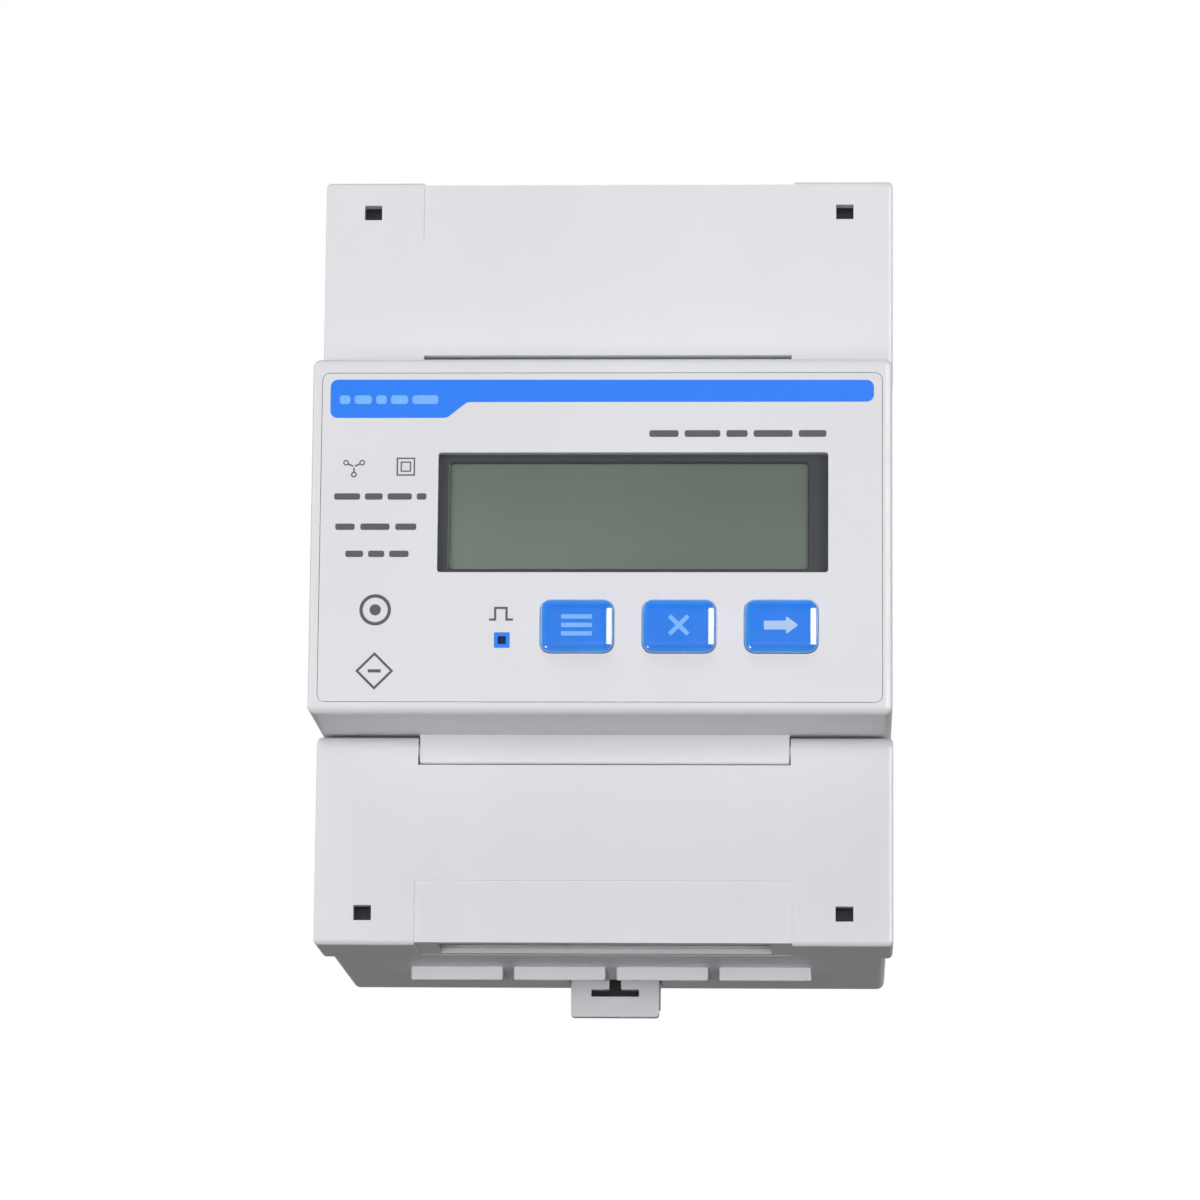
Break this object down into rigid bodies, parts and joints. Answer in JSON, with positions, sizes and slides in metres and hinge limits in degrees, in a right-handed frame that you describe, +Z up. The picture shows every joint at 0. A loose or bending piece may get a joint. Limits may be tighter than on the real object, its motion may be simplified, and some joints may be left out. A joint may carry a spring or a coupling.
{
  "type": "smart electric meter",
  "caption": "Rail-mounted electricity meter with a display, three push keys, two hinged terminal covers, screw terminals and a sprung rail clip.",
  "frame": {"origin": "centre of the seat face that rests on the front of the mounting rail", "axes": "+Z up, +Y towards the mounting rail and panel, +X to the right as seen from the front"},
  "size_m": [0.072, 0.0661, 0.1036],
  "materials": {
    "housing_plastic": "fine satin light-grey moulding",
    "cover_plastic": "fine satin light-grey moulding",
    "label_film": "printed satin polyester film",
    "clear_window": "clear polished lens",
    "dark_plastic": "dark grey frame",
    "lcd_glass": "grey-green display glass",
    "diffuser": "milky light guide",
    "rubber_strip": "black conductive rubber",
    "circuit_board": "green solder mask",
    "steel": "zinc-plated steel",
    "brass": "nickel-free brass",
    "blue_key": "glossy blue key",
    "light_pipe": "dark tinted prism",
    "led_red": "tinted epoxy",
    "black_part": "black moulded part",
    "blue_epoxy": "potted case",
    "yellow_tape": "taped winding",
    "terminal_plastic": "grey insulating moulding",
    "spring_steel": "spring wire"
  },
  "bodies": {
    "housing": {"base_housing": "housing_plastic", "front_housing": "housing_plastic", "fascia_label": "label_film", "lcd_window": "clear_window", "lcd_holder": "dark_plastic", "lcd_glass": "lcd_glass", "lcd_backlight": "diffuser", "zebra_strips": "rubber_strip", "display_board": "circuit_board", "board_screws": "steel", "light_pipe": "light_pipe", "pulse_led": "led_red", "board_link": "black_part", "main_board": "circuit_board", "supply_transformer": "yellow_tape", "filter_capacitors": "black_part", "surge_varistors": "blue_epoxy", "metering_chip": "black_part", "interface_chips": "black_part", "power_terminal_block": "terminal_plastic", "power_contacts": "brass", "signal_terminal_block": "terminal_plastic", "signal_clamps": "brass", "housing_screws": "steel", "clip_spring": "spring_steel", "key_switch_1": "black_part", "key_switch_2": "black_part", "key_switch_3": "black_part", "current_transformer_1": "blue_epoxy", "current_transformer_2": "blue_epoxy", "current_transformer_3": "blue_epoxy"},
    "power_screw_1": {"power_screw_1": "steel"},
    "power_screw_2": {"power_screw_2": "steel"},
    "power_screw_3": {"power_screw_3": "steel"},
    "power_screw_4": {"power_screw_4": "steel"},
    "power_clamp_1": {"power_clamp_1": "brass"},
    "power_clamp_2": {"power_clamp_2": "brass"},
    "power_clamp_3": {"power_clamp_3": "brass"},
    "power_clamp_4": {"power_clamp_4": "brass"},
    "signal_screw_1": {"signal_screw_1": "steel"},
    "signal_screw_2": {"signal_screw_2": "steel"},
    "signal_screw_3": {"signal_screw_3": "steel"},
    "signal_screw_4": {"signal_screw_4": "steel"},
    "signal_screw_5": {"signal_screw_5": "steel"},
    "signal_screw_6": {"signal_screw_6": "steel"},
    "signal_screw_7": {"signal_screw_7": "steel"},
    "signal_screw_8": {"signal_screw_8": "steel"},
    "button_1": {"button_1": "blue_key"},
    "button_2": {"button_2": "blue_key"},
    "button_3": {"button_3": "blue_key"},
    "upper_cover": {"upper_cover": "cover_plastic"},
    "lower_cover": {"lower_cover": "cover_plastic"},
    "rail_clip": {"rail_clip": "housing_plastic"}
  },
  "joints": [
    {"name": "upper_cover_hinge", "type": "hinge", "parent": "housing", "child": "upper_cover", "pos_m": [0, -0.0413, 0.0242], "axis": [1, 0, 0], "range_deg": [0, 90]},
    {"name": "lower_cover_hinge", "type": "hinge", "parent": "housing", "child": "lower_cover", "pos_m": [0, -0.0413, -0.0242], "axis": [-1, 0, 0], "range_deg": [0, 90]},
    {"name": "button_1_press", "type": "slide", "parent": "housing", "child": "button_1", "axis": [0, 1, 0], "range_m": [0, 0.0006], "stiffness_N_per_m": 1800},
    {"name": "button_2_press", "type": "slide", "parent": "housing", "child": "button_2", "axis": [0, 1, 0], "range_m": [0, 0.0006], "stiffness_N_per_m": 1800},
    {"name": "button_3_press", "type": "slide", "parent": "housing", "child": "button_3", "axis": [0, 1, 0], "range_m": [0, 0.0006], "stiffness_N_per_m": 1800},
    {"name": "rail_clip_pull", "type": "slide", "parent": "housing", "child": "rail_clip", "axis": [0, 0, -1], "range_m": [0, 0.0034], "stiffness_N_per_m": 2500, "deforming": ["clip_spring"]},
    {"name": "power_screw_1_turn", "type": "hinge", "parent": "housing", "child": "power_screw_1", "pos_m": [-0.0198, -0.02, -0.0395], "axis": [0, 1, 0], "range_deg": [0, 2057.3]},
    {"name": "power_clamp_1_rise", "type": "slide", "parent": "housing", "child": "power_clamp_1", "axis": [0, -1, 0], "range_m": [0, 0.004]},
    {"name": "power_screw_2_turn", "type": "hinge", "parent": "housing", "child": "power_screw_2", "pos_m": [-0.0066, -0.02, -0.0395], "axis": [0, 1, 0], "range_deg": [0, 2057.3]},
    {"name": "power_clamp_2_rise", "type": "slide", "parent": "housing", "child": "power_clamp_2", "axis": [0, -1, 0], "range_m": [0, 0.004]},
    {"name": "power_screw_3_turn", "type": "hinge", "parent": "housing", "child": "power_screw_3", "pos_m": [0.0066, -0.02, -0.0395], "axis": [0, 1, 0], "range_deg": [0, 2057.3]},
    {"name": "power_clamp_3_rise", "type": "slide", "parent": "housing", "child": "power_clamp_3", "axis": [0, -1, 0], "range_m": [0, 0.004]},
    {"name": "power_screw_4_turn", "type": "hinge", "parent": "housing", "child": "power_screw_4", "pos_m": [0.0198, -0.02, -0.0395], "axis": [0, 1, 0], "range_deg": [0, 2057.3]},
    {"name": "power_clamp_4_rise", "type": "slide", "parent": "housing", "child": "power_clamp_4", "axis": [0, -1, 0], "range_m": [0, 0.004]},
    {"name": "signal_screw_1_turn", "type": "hinge", "parent": "housing", "child": "signal_screw_1", "pos_m": [-0.0231, -0.02, 0.038], "axis": [0, 1, 0], "continuous": true},
    {"name": "signal_screw_2_turn", "type": "hinge", "parent": "housing", "child": "signal_screw_2", "pos_m": [-0.0165, -0.02, 0.038], "axis": [0, 1, 0], "continuous": true},
    {"name": "signal_screw_3_turn", "type": "hinge", "parent": "housing", "child": "signal_screw_3", "pos_m": [-0.0099, -0.02, 0.038], "axis": [0, 1, 0], "continuous": true},
    {"name": "signal_screw_4_turn", "type": "hinge", "parent": "housing", "child": "signal_screw_4", "pos_m": [-0.0033, -0.02, 0.038], "axis": [0, 1, 0], "continuous": true},
    {"name": "signal_screw_5_turn", "type": "hinge", "parent": "housing", "child": "signal_screw_5", "pos_m": [0.0033, -0.02, 0.038], "axis": [0, 1, 0], "continuous": true},
    {"name": "signal_screw_6_turn", "type": "hinge", "parent": "housing", "child": "signal_screw_6", "pos_m": [0.0099, -0.02, 0.038], "axis": [0, 1, 0], "continuous": true},
    {"name": "signal_screw_7_turn", "type": "hinge", "parent": "housing", "child": "signal_screw_7", "pos_m": [0.0165, -0.02, 0.038], "axis": [0, 1, 0], "continuous": true},
    {"name": "signal_screw_8_turn", "type": "hinge", "parent": "housing", "child": "signal_screw_8", "pos_m": [0.0231, -0.02, 0.038], "axis": [0, 1, 0], "continuous": true}
  ],
  "couplings": [
    {"joint": "power_screw_1_turn", "follows": "power_clamp_1_rise", "rad_per_m": 8976},
    {"joint": "power_screw_2_turn", "follows": "power_clamp_2_rise", "rad_per_m": 8976},
    {"joint": "power_screw_3_turn", "follows": "power_clamp_3_rise", "rad_per_m": 8976},
    {"joint": "power_screw_4_turn", "follows": "power_clamp_4_rise", "rad_per_m": 8976}
  ]
}
